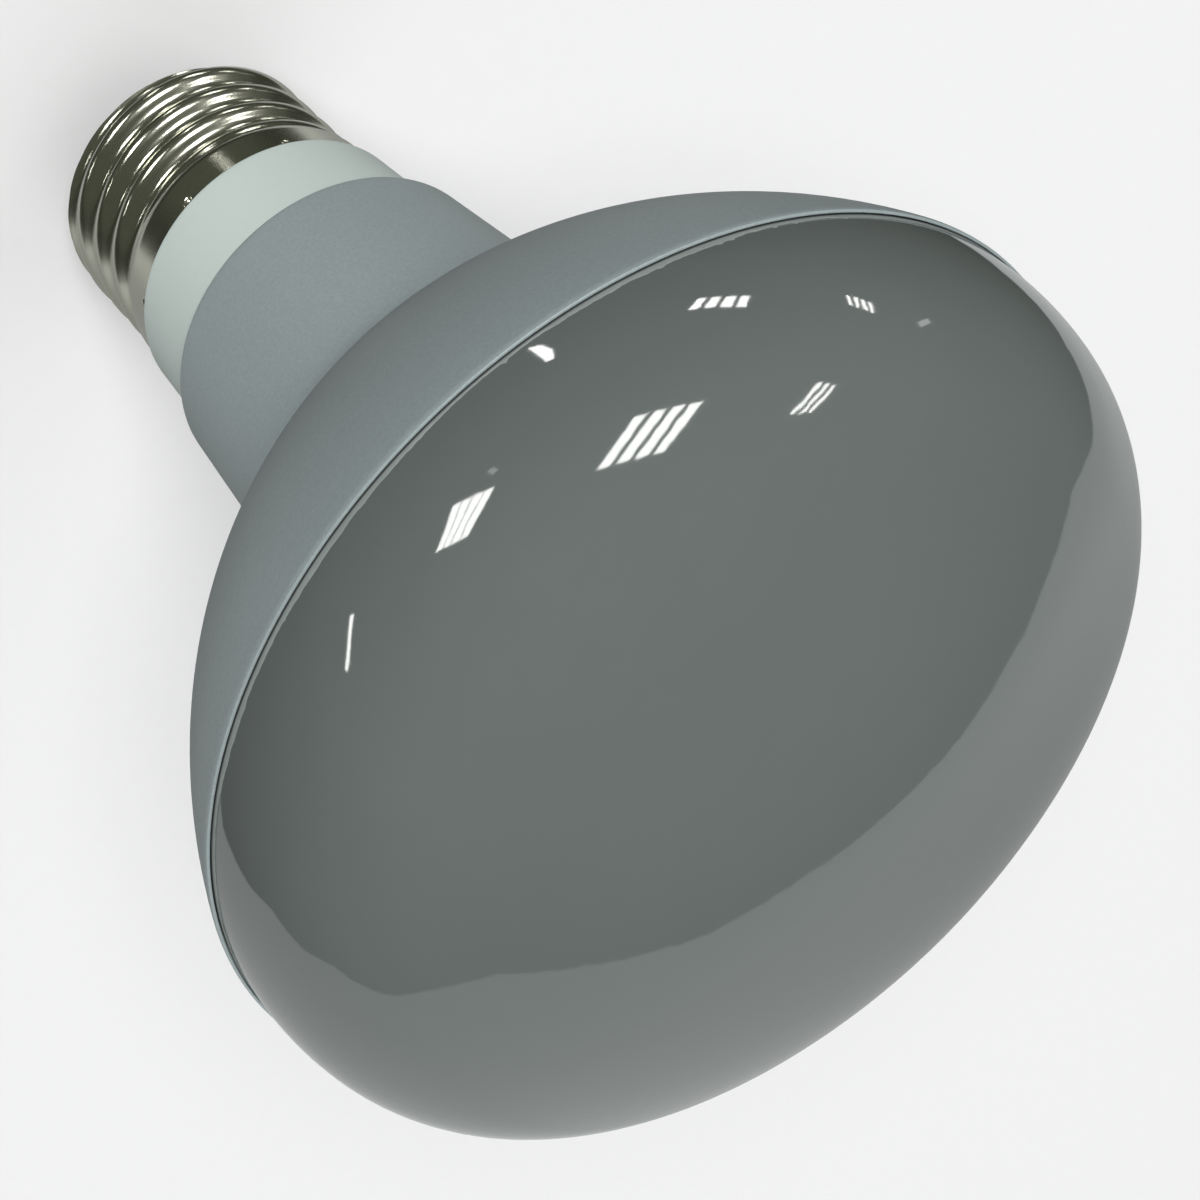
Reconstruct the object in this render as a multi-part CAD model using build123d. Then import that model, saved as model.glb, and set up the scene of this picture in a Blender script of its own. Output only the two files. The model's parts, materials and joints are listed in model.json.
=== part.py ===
from build123d import *
import os
from math import acos, asin, atan2, cos, degrees, radians, sin, sqrt, tan

# A reflector lamp. Sizes are in millimetres and angles in degrees.
# +Z runs along the axis, from the tip of the centre contact to the dome.

# Screw cap: 27 mm round thread, rolled into thin plated sheet
THREAD_CREST_DIAMETER = 26.25
THREAD_DEPTH = 1.075
THREAD_PITCH = 3.629
THREAD_PHASE = 0.0
THREAD_FACETS = 4
CAP_LENGTH = 18.3
CAP_SHEET = 0.4
SKIRT_STEP = 0.225
SKIRT_LENGTH = 3.4
SHOULDER_ROUND = 2.0
RIM_ROUND = 1.6
RIM_WIDTH = 1.65

# Punch marks that lock the skirt to the collar
CRIMP_COUNT = 8
CRIMP_BALL_RADIUS = 1.0
CRIMP_DEPTH = 0.25
CRIMP_FROM_EDGE = 0.6

# Glass insulator and centre contact
INSULATOR_HEIGHT = 3.6
INSULATOR_TIP_WALL = 1.35
INSULATOR_FLANGE_WIDTH = 0.8
INSULATOR_FLANGE_THICKNESS = 1.6
CONTACT_DIAMETER = 9.6
CONTACT_PLATE = 0.5
CONTACT_RECESS = 0.4
CONTACT_LAND = 1.2
CONTACT_BEAD_HEIGHT = 0.9

# Collar between the cap and the neck
COLLAR_LENGTH = 10.5
COLLAR_STEP = 0.65
COLLAR_TAPER = 3.0
COLLAR_EDGE_ROUND = 0.4
COLLAR_SEAT_DEPTH = 12.0

# Reflector housing: a neck, a bowl and the lip round the bowl's mouth
NECK_STEP = 1.3
NECK_LENGTH = 22.0
NECK_TAPER = 4.7
NECK_EDGE_ROUND = 0.6
NECK_FILLET = 7.0
BOWL_DEPTH = 29.9
BOWL_EDGE_ANGLE = 16.0
LIP_DIAMETER = 80.0
LIP_ROUND = 2.0
LIP_WALL = 0.2
LIP_EDGE_ROUND = 0.12

# Front dome: a side, a shoulder and a crown, each a round that runs into the next
DOME_WIDEST_HEIGHT = 1.8
DOME_SIDE_RADIUS = 20.0
DOME_SIDE_ANGLE = 15.0
DOME_SHOULDER_RADIUS = 14.0
DOME_CROWN_RADIUS = 68.0
DOME_FOOT_DEPTH = 3.0

# Glued seam: a ring of adhesive between the dome and a ledge, with an open gap inside the lip
SEAM_GAP = 0.18
LEDGE_DEPTH = 0.5
SEAL_WIDTH = 2.1
SEAL_HEIGHT = 0.9

# Clearance of the pushed fits, on the radius, and how far one cutting form runs past another
FIT = 0.05
RUN_OUT = 0.25

# A cylinder stands on its base
FROM_BASE = (Align.CENTER, Align.CENTER, Align.MIN)

# Heights of the joints along the axis
TIP_Z = CONTACT_BEAD_HEIGHT + CONTACT_PLATE
RECESS_Z = TIP_Z + CONTACT_RECESS
RIM_Z = TIP_Z + INSULATOR_HEIGHT
THREAD_Z = RIM_Z - THREAD_PITCH
FLANGE_Z = RIM_Z + CAP_SHEET
SPIGOT_Z = FLANGE_Z + INSULATOR_FLANGE_THICKNESS
COLLAR_Z = RIM_Z + CAP_LENGTH
SKIRT_Z = COLLAR_Z - SKIRT_LENGTH
NECK_Z = COLLAR_Z + COLLAR_LENGTH
COLLAR_SEAT_Z = NECK_Z + COLLAR_SEAT_DEPTH
BOWL_Z = NECK_Z + NECK_LENGTH
SEAM_Z = BOWL_Z + BOWL_DEPTH
LEDGE_Z = SEAM_Z - LEDGE_DEPTH
SEAL_Z = LEDGE_Z + SEAL_HEIGHT
FOOT_Z = SEAM_Z - DOME_FOOT_DEPTH

# Radii that more than one piece is made to
CREST = THREAD_CREST_DIAMETER / 2
ROOT = CREST - THREAD_DEPTH
SKIRT = CREST + SKIRT_STEP
CAP_BORE = ROOT - CAP_SHEET - FIT
OPENING = ROOT - RIM_WIDTH
CONTACT = CONTACT_DIAMETER / 2
LIP = LIP_DIAMETER / 2
LEDGE = LIP - LIP_WALL
DOME_EDGE = LEDGE - SEAM_GAP
DOME_FOOT = DOME_EDGE - SEAL_WIDTH

# The dome's side round: its centre, and its angles at the seam and at the top of the seal
SIDE_CENTRE = Vector(
    DOME_EDGE - sqrt(DOME_SIDE_RADIUS**2 - DOME_WIDEST_HEIGHT**2),
    SEAM_Z + DOME_WIDEST_HEIGHT,
)
SEAM_ANGLE = degrees(asin((SEAM_Z - SIDE_CENTRE.Y) / DOME_SIDE_RADIUS))
SEAL_ANGLE = degrees(asin((SEAL_Z - SIDE_CENTRE.Y) / DOME_SIDE_RADIUS))


def turned(*edges):
    """Solid turned about Z from a closed half outline, drawn as radius and height."""
    return revolve(Plane.XZ * make_face(edges), Axis.Z)


def arc(centre, radius, start, end):
    """Arc from one angle to another, both measured up from the outward radius."""
    return CenterArc(centre, radius, start, end - start)


def direction(angle):
    """Unit step in the half outline at an angle up from the outward radius."""
    return Vector(cos(radians(angle)), sin(radians(angle)))


def collar_radius(height):
    """Radius of the collar's taper at a height."""
    return SKIRT + COLLAR_STEP + (height - COLLAR_Z) * tan(radians(COLLAR_TAPER))


def thread_ridge(inset):
    """Round ridge of the thread, drawn in by a wall: a many-sided outline carried up a right-hand helix."""
    curve = ((THREAD_PITCH / 4) ** 2 + (THREAD_DEPTH / 2) ** 2) / THREAD_DEPTH
    spread = asin(THREAD_PITCH / 4 / curve)
    flank = THREAD_PITCH / 2 - curve * sin(spread / 2)
    hollow = ROOT + curve * (1 - cos(spread / 2))
    outline = [(ROOT - RUN_OUT, -flank), (hollow, -flank)]
    for step in range(THREAD_FACETS + 1):
        turn = spread * (2 * step / THREAD_FACETS - 1)
        outline.append((CREST - curve * (1 - cos(turn)), curve * sin(turn)))
    outline += [(hollow, flank), (ROOT - RUN_OUT, flank)]

    start = Pos(0, 0, THREAD_Z) * Rot(0, 0, THREAD_PHASE)
    length = SKIRT_Z - THREAD_Z
    edges = []
    for radius, rise in outline:
        edges.append((start * Pos(0, 0, rise) * Helix(THREAD_PITCH, length, radius - inset)).edge())
    neighbours = zip(edges, edges[1:] + edges[:1])
    sides = [Face.make_surface_from_curves(edge, neighbour) for edge, neighbour in neighbours]
    ends = [Face(Polyline(*[edge @ end for edge in edges], close=True).wire()) for end in (0, 1)]
    return Solid(Shell(sides + ends))


def thread_core(inset):
    """Plain round at the thread's root, which the ridge stands on."""
    return Pos(0, 0, THREAD_Z) * Cylinder(ROOT - inset, SKIRT_Z - THREAD_Z, align=FROM_BASE)


def rim_form(inset):
    """Blank whose rounded end the thread runs out into at the rim."""
    radius = CREST + RUN_OUT - inset
    end = RIM_Z + inset
    corner = arc((radius - RIM_ROUND, end + RIM_ROUND), RIM_ROUND, -90, 0)
    return turned(corner, Polyline(corner @ 1, (radius, COLLAR_Z), (0, COLLAR_Z), (0, end), corner @ 0))


def skirt_form(inset):
    """Plain skirt whose rounded shoulder sinks into the thread."""
    radius = SKIRT - inset
    sink = SKIRT_STEP + THREAD_DEPTH + RUN_OUT
    turn = degrees(acos(1 - sink / SHOULDER_ROUND))
    shoulder = arc((radius - SHOULDER_ROUND, SKIRT_Z), SHOULDER_ROUND, -turn, 0)
    foot = shoulder @ 0
    return turned(shoulder, Polyline(shoulder @ 1, (radius, COLLAR_Z), (0, COLLAR_Z), (0, foot.Y), foot))


def cap_form(inset):
    """Outside of the cap, drawn in by a wall's thickness."""
    return ((thread_core(inset) + thread_ridge(inset)) & rim_form(inset)) + skirt_form(inset)


def crimp_balls(radius):
    """Balls round the skirt's edge, kept below it, where a punch presses it into the collar."""
    skirt = Pos(0, 0, SKIRT_Z) * Cylinder(SKIRT, SKIRT_LENGTH, align=FROM_BASE)
    reach = SKIRT + CRIMP_BALL_RADIUS - CRIMP_DEPTH
    ring = Pos(0, 0, COLLAR_Z - CRIMP_FROM_EDGE) * PolarLocations(reach, CRIMP_COUNT)
    return [place * Sphere(radius) & skirt for place in ring]


def cap_shell():
    """Threaded shell with a turned-in rim and punch marks round its skirt."""
    opening = Pos(0, 0, TIP_Z) * Cylinder(OPENING, FLANGE_Z + RUN_OUT - TIP_Z, align=FROM_BASE)
    shell = cap_form(0) - cap_form(CAP_SHEET) - opening
    for dent, punch in zip(crimp_balls(CRIMP_BALL_RADIUS + CAP_SHEET), crimp_balls(CRIMP_BALL_RADIUS)):
        shell = shell + dent - punch
    return shell


def cap_insulator():
    """Glass button: a flange inside the rim, and a cone outside it that carries the contact."""
    recess = CONTACT + FIT
    tip = recess + INSULATOR_TIP_WALL
    throat = OPENING - FIT
    flange = throat + INSULATOR_FLANGE_WIDTH
    return turned(
        Polyline(
            (0, RECESS_Z),
            (recess, RECESS_Z),
            (recess, TIP_Z),
            (tip, TIP_Z),
            (throat, RIM_Z),
            (throat, FLANGE_Z),
            (flange, FLANGE_Z),
            (flange, SPIGOT_Z),
            (0, SPIGOT_Z),
            close=True,
        )
    )


def centre_contact():
    """Contact disc let into the insulator, with a low bead of solder on it."""
    bead = CONTACT - CONTACT_LAND
    curve = (bead**2 + CONTACT_BEAD_HEIGHT**2) / (2 * CONTACT_BEAD_HEIGHT)
    spread = degrees(asin(bead / curve))
    bead_face = arc((0, curve), curve, -90, spread - 90)
    land = bead_face @ 1
    return turned(
        bead_face,
        Polyline(land, (CONTACT, land.Y), (CONTACT, RECESS_Z), (0, RECESS_Z), bead_face @ 0),
    )


def collar():
    """Tapered plug: a spigot in the cap, a visible band and a tail glued into the neck."""
    band = collar_radius(COLLAR_Z)
    spigot = SKIRT - CAP_SHEET - FIT
    edge = arc((band - COLLAR_EDGE_ROUND, COLLAR_Z + COLLAR_EDGE_ROUND), COLLAR_EDGE_ROUND, -90, 0)
    plug = turned(
        edge,
        Polyline(
            edge @ 1,
            (collar_radius(COLLAR_SEAT_Z), COLLAR_SEAT_Z),
            (0, COLLAR_SEAT_Z),
            (0, SPIGOT_Z),
            (CAP_BORE, SPIGOT_Z),
            (CAP_BORE, SKIRT_Z),
            (spigot, SKIRT_Z),
            (spigot, COLLAR_Z),
            edge @ 0,
        ),
    )
    for dent in crimp_balls(CRIMP_BALL_RADIUS + CAP_SHEET + FIT):
        plug = plug - dent
    return plug


def reflector_housing():
    """Neck, bowl and lip in one, with a socket for the collar and a mouth for the dome's foot."""
    neck = collar_radius(NECK_Z) + NECK_STEP
    neck_outward = direction(-NECK_TAPER)
    neck_along = direction(90 - NECK_TAPER)
    round_centre = Vector(neck - NECK_EDGE_ROUND, NECK_Z + NECK_EDGE_ROUND)
    neck_edge = round_centre + neck_outward * NECK_EDGE_ROUND

    # The bowl is one round that starts on the neck's cone and runs into the lip's round
    bowl_start = neck_edge + neck_along * ((BOWL_Z - neck_edge.Y) / neck_along.Y)
    lip_centre = Vector(LIP - LIP_ROUND, SEAM_Z - LIP_EDGE_ROUND)
    across = lip_centre - bowl_start
    lean = across.dot(direction(-BOWL_EDGE_ANGLE)) + LIP_ROUND
    bowl_radius = (across.dot(across) + LIP_ROUND * (2 * lean - LIP_ROUND)) / (2 * lean)
    bowl_centre = lip_centre - direction(-BOWL_EDGE_ANGLE) * (bowl_radius - LIP_ROUND)

    # The hollow round that touches both the cone and the bowl
    start = neck_edge + neck_outward * NECK_FILLET
    gap = start - bowl_centre
    run = -gap.dot(neck_along)
    reach = bowl_radius + NECK_FILLET
    fillet_centre = start + neck_along * (run - sqrt(run**2 - gap.dot(gap) + reach**2))
    to_fillet = fillet_centre - bowl_centre
    bowl_angle = degrees(atan2(to_fillet.Y, to_fillet.X))

    neck_end = arc(round_centre, NECK_EDGE_ROUND, -90, -NECK_TAPER)
    hollow = arc(fillet_centre, NECK_FILLET, 180 - NECK_TAPER, 180 + bowl_angle)
    bowl = arc(bowl_centre, bowl_radius, bowl_angle, -BOWL_EDGE_ANGLE)
    lip_side = arc(lip_centre, LIP_ROUND, -BOWL_EDGE_ANGLE, 0)
    lip_edge = arc((LIP - LIP_EDGE_ROUND, SEAM_Z - LIP_EDGE_ROUND), LIP_EDGE_ROUND, 0, 90)
    mouth = DOME_FOOT + FIT
    return turned(
        neck_end,
        Line(neck_end @ 1, hollow @ 0),
        hollow,
        bowl,
        lip_side,
        lip_edge,
        Polyline(
            lip_edge @ 1,
            (LEDGE, SEAM_Z),
            (LEDGE, LEDGE_Z),
            (mouth, LEDGE_Z),
            (mouth, FOOT_Z),
            (0, FOOT_Z),
            (0, COLLAR_SEAT_Z),
            (collar_radius(COLLAR_SEAT_Z) + FIT, COLLAR_SEAT_Z),
            (collar_radius(NECK_Z) + FIT, NECK_Z),
            neck_end @ 0,
        ),
    )


def dome_seal():
    """Ring of adhesive on the housing's ledge, flush with the dome above the open gap."""
    band = arc(SIDE_CENTRE, DOME_SIDE_RADIUS, SEAM_ANGLE, SEAL_ANGLE)
    bore = DOME_FOOT + FIT
    return turned(
        band,
        Polyline(band @ 1, (bore, SEAL_Z), (bore, LEDGE_Z), (DOME_EDGE, LEDGE_Z), band @ 0),
    )


def front_dome():
    """Opal dome that stands on the seal, with a foot inside the housing's mouth."""
    shoulder_centre = SIDE_CENTRE + direction(DOME_SIDE_ANGLE) * (DOME_SIDE_RADIUS - DOME_SHOULDER_RADIUS)
    crown_angle = degrees(acos(shoulder_centre.X / (DOME_CROWN_RADIUS - DOME_SHOULDER_RADIUS)))
    crown_centre = shoulder_centre - direction(crown_angle) * (DOME_CROWN_RADIUS - DOME_SHOULDER_RADIUS)

    side = arc(SIDE_CENTRE, DOME_SIDE_RADIUS, SEAL_ANGLE, DOME_SIDE_ANGLE)
    shoulder = arc(shoulder_centre, DOME_SHOULDER_RADIUS, DOME_SIDE_ANGLE, crown_angle)
    crown = arc(crown_centre, DOME_CROWN_RADIUS, crown_angle, 90)
    foot = Polyline(crown @ 1, (0, FOOT_Z), (DOME_FOOT, FOOT_Z), (DOME_FOOT, SEAL_Z), side @ 0)
    return turned(side, shoulder, crown, foot)


PIECES = [
    centre_contact,
    cap_insulator,
    cap_shell,
    collar,
    reflector_housing,
    dome_seal,
    front_dome,
]

os.makedirs("parts", exist_ok=True)
for piece in PIECES:
    export_step(piece(), f"parts/{piece.__name__}.step")
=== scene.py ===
import json
import math

import bpy
from bpy.props import FloatProperty, FloatVectorProperty, IntProperty, PointerProperty
from mathutils import Euler, Matrix, Vector


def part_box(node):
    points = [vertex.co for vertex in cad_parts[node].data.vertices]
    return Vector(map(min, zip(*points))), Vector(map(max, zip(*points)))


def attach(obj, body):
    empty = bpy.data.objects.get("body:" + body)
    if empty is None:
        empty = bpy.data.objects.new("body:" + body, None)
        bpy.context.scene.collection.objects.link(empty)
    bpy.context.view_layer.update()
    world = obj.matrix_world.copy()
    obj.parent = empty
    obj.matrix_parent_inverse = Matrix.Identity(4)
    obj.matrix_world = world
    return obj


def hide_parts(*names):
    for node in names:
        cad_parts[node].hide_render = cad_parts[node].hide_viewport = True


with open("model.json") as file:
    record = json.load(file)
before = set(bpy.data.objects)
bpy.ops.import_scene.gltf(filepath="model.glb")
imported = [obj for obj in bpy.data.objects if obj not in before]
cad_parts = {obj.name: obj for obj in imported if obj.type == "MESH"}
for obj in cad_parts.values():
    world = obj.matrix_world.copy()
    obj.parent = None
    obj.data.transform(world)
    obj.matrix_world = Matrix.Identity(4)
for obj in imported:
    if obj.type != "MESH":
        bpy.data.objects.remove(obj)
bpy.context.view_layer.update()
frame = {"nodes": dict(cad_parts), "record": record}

bl_info = {
    "name": "Reflector lamp",
    "version": (1, 0, 0),
    "blender": (4, 5, 0),
    "location": "View3D > Sidebar > Lamp",
    "description": "Dresses the packed reflector lamp with fine surfaces and finishes",
    "category": "Object",
}

MM = 0.001
DEG = math.pi / 180

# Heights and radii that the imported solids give
BOXES = {name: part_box(name) for name in frame["nodes"]}
MATERIALS = frame["record"]["materials"]
SLOT_COLOURS = {item["slot"]: tuple(item["base_color"][:3]) for item in MATERIALS}


def lowest(node):
    """Height of a solid's lowest point."""
    return BOXES[node][0].z


def highest(node):
    """Height of a solid's highest point."""
    return BOXES[node][1].z


def widest(node):
    """Largest radius of a solid."""
    return BOXES[node][1].x


TIP_Z = lowest("cap_insulator")
RECESS_Z = highest("centre_contact")
RIM_Z = lowest("cap_shell")
SPIGOT_Z = lowest("collar")
COLLAR_Z = highest("cap_shell")
NECK_Z = lowest("reflector_housing")
SEAT_Z = highest("collar")
FOOT_Z = lowest("front_dome")
LEDGE_Z = lowest("dome_seal")
SEAM_Z = highest("reflector_housing")
SEAL_Z = highest("dome_seal")
SKIRT = widest("cap_shell")
LIP = widest("reflector_housing")

# Edges, blends and hidden fits that are too small to be worth a setting
CONTACT_EDGE = 0.12 * MM  # round on the contact's edge
GLASS_EDGE = 0.25 * MM  # round on the insulator's tip
RIM_CURL = 0.12 * MM  # round where the cap's rim ends
BLANK_SPARE = 0.25 * MM  # what the cap's blank has outside the thread's crest
ROOT_SPARE = 0.3 * MM  # what counts as the cap's outside below the thread's root
RIM_SPARE = 0.01 * MM  # what counts as the cap's rim above the rim's round
ROLL_BLEND = 0.2 * MM  # between the thread, the rim and the shoulder
MARK_BLEND = 0.05 * MM  # round a punch mark
MARK_BUNCHING = 0.6  # how much closer the cap's columns stand at the punch marks
SPIGOT_ROOM = 0.3 * MM  # round the collar's spigot, for the punch marks
DOME_START = 0.02 * MM  # height over the ledge at which the dome's side starts
SEAL_START = 0.03 * MM  # height over the ledge at which the adhesive starts
SEAL_BACK = 0.12 * MM  # how far the adhesive goes into the dome's side
BEAD_POWER = 4  # how square the adhesive's bead is
MERGE_REACH = 1e-6  # points nearer than this are one

# Noise round the adhesive: scale, detail and roughness
SWELL_NOISE = (2.3, 1.0, 0.5)
RAGGED_NOISE = (22.0, 4.0, 0.65)
DRIP_NOISE = (31.0, 1.0, 0.5)
DRIP_LEVEL = 0.64
LEAST_STRETCH = 0.3

# Shade at the adhesive's foot: where it starts below the seam, its rise and its darkest level
FOOT_DROP, FOOT_RISE, FOOT_SHADE = 0.02 * MM, 0.2 * MM, 0.2


def amount(name, description, default, **kind):
    """A number."""
    return FloatProperty(name=name, description=description, default=default, **kind)


def length(name, description, default):
    """A size in metres."""
    return amount(name, description, default, unit="LENGTH", precision=5)


def angle(name, description, default):
    """An angle, given in degrees."""
    return amount(name, description, default * DEG, subtype="ANGLE")


def colour(name, description, default):
    """A colour."""
    return FloatVectorProperty(
        name=name, description=description, default=default, subtype="COLOR", size=3, min=0, max=1
    )


class LampSizes(bpy.types.PropertyGroup):
    """Sizes of the lamp that its boxes don't give."""

    crest: length("Thread crest", "Radius at the thread's crest", 13.125 * MM)
    thread_depth: length("Thread depth", "Depth of the thread", 1.075 * MM)
    thread_pitch: length("Thread pitch", "Rise of one turn of the thread", 3.629 * MM)
    cap_sheet: length("Cap sheet", "Thickness of the cap's sheet", 0.4 * MM)
    skirt_length: length("Skirt length", "Plain length below the collar", 3.4 * MM)
    shoulder_round: length("Shoulder round", "Round from the thread to the skirt", 2.0 * MM)
    rim_round: length("Rim round", "Round at the cap's open end", 1.6 * MM)
    rim_width: length("Rim width", "Turned-in rim, from the thread's root", 1.65 * MM)
    crimp_count: IntProperty(name="Punch marks", description="Marks round the skirt", default=8)
    crimp_radius: length("Punch radius", "Radius of the punch", 1.0 * MM)
    crimp_depth: length("Punch depth", "Depth of a punch mark", 0.25 * MM)
    crimp_from_edge: length("Punch place", "Distance of a mark from the skirt's edge", 0.6 * MM)
    contact: length("Contact", "Radius of the centre contact", 4.8 * MM)
    contact_land: length("Contact land", "Flat ring round the solder bead", 1.2 * MM)
    bead_height: length("Bead height", "Height of the solder bead", 0.9 * MM)
    insulator_wall: length("Insulator wall", "Glass round the contact", 1.35 * MM)
    insulator_flange: length("Insulator flange", "Flange inside the rim", 0.8 * MM)
    collar_step: length("Collar step", "Step from the skirt out to the collar", 0.65 * MM)
    collar_taper: angle("Collar taper", "Taper of the collar", 3.0)
    collar_edge: length("Collar edge", "Round at the collar's lower edge", 0.4 * MM)
    neck_step: length("Neck step", "Step from the collar out to the neck", 1.3 * MM)
    neck_length: length("Neck length", "Length of the neck before the bowl", 22.0 * MM)
    neck_taper: angle("Neck taper", "Taper of the neck", 4.7)
    neck_edge: length("Neck edge", "Round at the neck's lower edge", 0.6 * MM)
    neck_fillet: length("Neck fillet", "Hollow round from the neck to the bowl", 7.0 * MM)
    bowl_edge: angle("Bowl edge", "Slope of the bowl where the lip starts", 16.0)
    lip_round: length("Lip round", "Round that ends the bowl", 2.0 * MM)
    lip_wall: length("Lip wall", "Thickness of the lip beside the gap", 0.2 * MM)
    lip_edge: length("Lip edge", "Round on the lip's edge", 0.12 * MM)
    dome_widest: length("Dome widest", "Dome's widest ring, above the seam", 1.8 * MM)
    dome_side: length("Dome side", "Radius of the dome's side", 20.0 * MM)
    dome_side_angle: angle("Dome side angle", "Slope where the side meets the shoulder", 15.0)
    dome_shoulder: length("Dome shoulder", "Radius of the dome's shoulder", 14.0 * MM)
    dome_crown: length("Dome crown", "Radius of the dome's crown", 68.0 * MM)
    seam_gap: length("Seam gap", "Open gap inside the lip", 0.18 * MM)
    seal_width: length("Seal width", "Width of the seal on its ledge", 2.1 * MM)
    seal_proud: length("Seal proud", "How far the adhesive stands out of the dome", 0.05 * MM)
    fit: length("Fit", "Clearance of the pushed fits", 0.05 * MM)


class LampFinishes(bpy.types.PropertyGroup):
    """Colours of the lamp's finishes."""

    solder: colour("Solder", "Centre contact", SLOT_COLOURS["contact_solder"])
    glass: colour("Black glass", "Insulator", SLOT_COLOURS["insulator_glass"])
    nickel: colour("Nickel plate", "Screw cap", (0.67, 0.665, 0.57))
    plastic: colour("Off-white plastic", "Collar", (0.60, 0.68, 0.64))
    paint: colour("Silver-grey paint", "Housing", (0.345, 0.40, 0.405))
    adhesive: colour("Adhesive", "Seal", (0.25, 0.278, 0.266))
    opal: colour("Opal", "Dome", (0.119, 0.134, 0.128))


class StageSettings(bpy.types.PropertyGroup):
    """Floor, light and camera."""

    floor: colour("Floor", "Pale floor", (0.80, 0.80, 0.795))
    backdrop: colour("Backdrop", "Pale surroundings that the camera sees", (0.82, 0.82, 0.82))
    sky: colour("Soft light", "Even light from above", (0.20, 0.206, 0.21))
    key_light: amount("Key light", "Strength of the key", 3.3)
    fill_light: amount("Fill light", "Strength of the fill from behind", 1.0)
    side_light: amount("Side light", "Strength of the fill from the far side", 0.75)
    room: colour("Room", "Dark room that the gloss mirrors", (0.034, 0.035, 0.026))
    ceiling: colour("Ceiling", "Ceiling that the gloss mirrors", (0.078, 0.086, 0.066))
    table_light: amount("Table", "Brightness of the mirrored table", 0.78)
    table_shade: amount("Table shade", "Brightness of that table beside the lamp", 0.34)
    tube_light: amount("Tubes", "Brightness of the mirrored tubes", 22.0)
    lens: amount("Lens", "Focal length in millimetres", 76.2261)


# Directions in a half outline, as angles up from the outward radius
IN, DOWN, OUT, UP = -math.pi, -math.pi / 2, 0.0, math.pi / 2


def step_at(turn):
    """Unit step in the half outline at an angle up from the outward radius."""
    return Vector((math.cos(turn), math.sin(turn)))


def arc(centre, radius, start, end, steps):
    """Points of an arc in the half outline."""
    turns = [start + (end - start) * step / steps for step in range(steps + 1)]
    return [Vector(centre) + step_at(turn) * radius for turn in turns]


def line(start, end, steps):
    """Points of a straight run in the half outline, without its end."""
    start, end = Vector(start), Vector(end)
    return [start.lerp(end, step / steps) for step in range(steps)]


def collar_radius(sizes, height):
    """Radius of the collar's taper at a height."""
    return SKIRT + sizes.collar_step + (height - COLLAR_Z) * math.tan(sizes.collar_taper)


def contact_outline(sizes):
    """Disc with a low bead of solder."""
    bead = sizes.contact - sizes.contact_land
    curve = (bead**2 + sizes.bead_height**2) / (2 * sizes.bead_height)
    face = arc((0, curve), curve, DOWN, math.asin(bead / curve) + DOWN, 24)
    foot = face[-1]
    rim = sizes.contact - CONTACT_EDGE
    return [
        *face,
        *line(foot, (rim, foot.y), 8)[1:],
        *arc((rim, foot.y + CONTACT_EDGE), CONTACT_EDGE, DOWN, OUT, 4),
        (sizes.contact, RECESS_Z),
        (0, RECESS_Z),
    ]


def insulator_outline(sizes):
    """Glass button with a recess for the contact, a cone and a flange inside the rim."""
    recess = sizes.contact + sizes.fit
    tip = recess + sizes.insulator_wall
    throat = sizes.crest - sizes.thread_depth - sizes.rim_width - sizes.fit
    flange = throat + sizes.insulator_flange
    flange_z = RIM_Z + sizes.cap_sheet
    edge, inner_edge = GLASS_EDGE, GLASS_EDGE / 2
    slope = math.atan2(RIM_Z - TIP_Z, throat - tip) + DOWN
    # The cone starts just past the tip's round
    cone_start = (tip + 0.1 * edge, TIP_Z + 1.6 * edge)
    return [
        (0, RECESS_Z),
        (recess, RECESS_Z),
        *arc((recess + inner_edge, TIP_Z + inner_edge), inner_edge, IN, DOWN, 5),
        *arc((tip - edge, TIP_Z + edge), edge, DOWN, slope, 6),
        *line(cone_start, (throat, RIM_Z), 10)[1:],
        (throat, RIM_Z),
        (throat, flange_z),
        (flange, flange_z),
        (flange, SPIGOT_Z),
        (0, SPIGOT_Z),
    ]


def cap_outline(sizes):
    """Blank of the cap: turned-in rim, plain outside to roll the thread into, and inner wall."""
    root = sizes.crest - sizes.thread_depth
    opening = root - sizes.rim_width
    blank = sizes.crest + BLANK_SPARE
    sheet, rim = sizes.cap_sheet, sizes.rim_round
    skirt_z = COLLAR_Z - sizes.skirt_length
    corner = arc((blank - rim, RIM_Z + rim), rim, DOWN, OUT, 14)
    return [
        (opening, RIM_Z + sheet),
        *arc((opening + RIM_CURL, RIM_Z + RIM_CURL), RIM_CURL, IN, DOWN, 4),
        *line((opening + RIM_CURL, RIM_Z), corner[0], 4)[1:],
        *corner,
        *line(corner[-1], (blank, COLLAR_Z), 136)[1:],
        (blank, COLLAR_Z),
        (SKIRT - sheet, COLLAR_Z),
        (SKIRT - sheet, skirt_z),
        (root - sheet, skirt_z - sheet),
        (root - sheet, RIM_Z + rim),
        (root - sheet - rim / 2, RIM_Z + sheet),
        (opening, RIM_Z + sheet),
    ]


def collar_outline(sizes):
    """Tapered plug: a spigot in the cap, the band that shows, and a tail in the neck."""
    bore = sizes.crest - sizes.thread_depth - sizes.cap_sheet - sizes.fit
    spigot = SKIRT - sizes.cap_sheet - sizes.fit - SPIGOT_ROOM
    skirt_z = COLLAR_Z - sizes.skirt_length
    edge = sizes.collar_edge
    edge_centre = (collar_radius(sizes, COLLAR_Z) - edge, COLLAR_Z + edge)
    edge_arc = arc(edge_centre, edge, DOWN, OUT, 8)
    seat = (collar_radius(sizes, SEAT_Z), SEAT_Z)
    return [
        (0, SPIGOT_Z),
        (bore, SPIGOT_Z),
        (bore, skirt_z),
        (spigot, skirt_z),
        (spigot, COLLAR_Z),
        *edge_arc,
        *line(edge_arc[-1], seat, 40)[1:],
        seat,
        (0, SEAT_Z),
    ]


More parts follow.
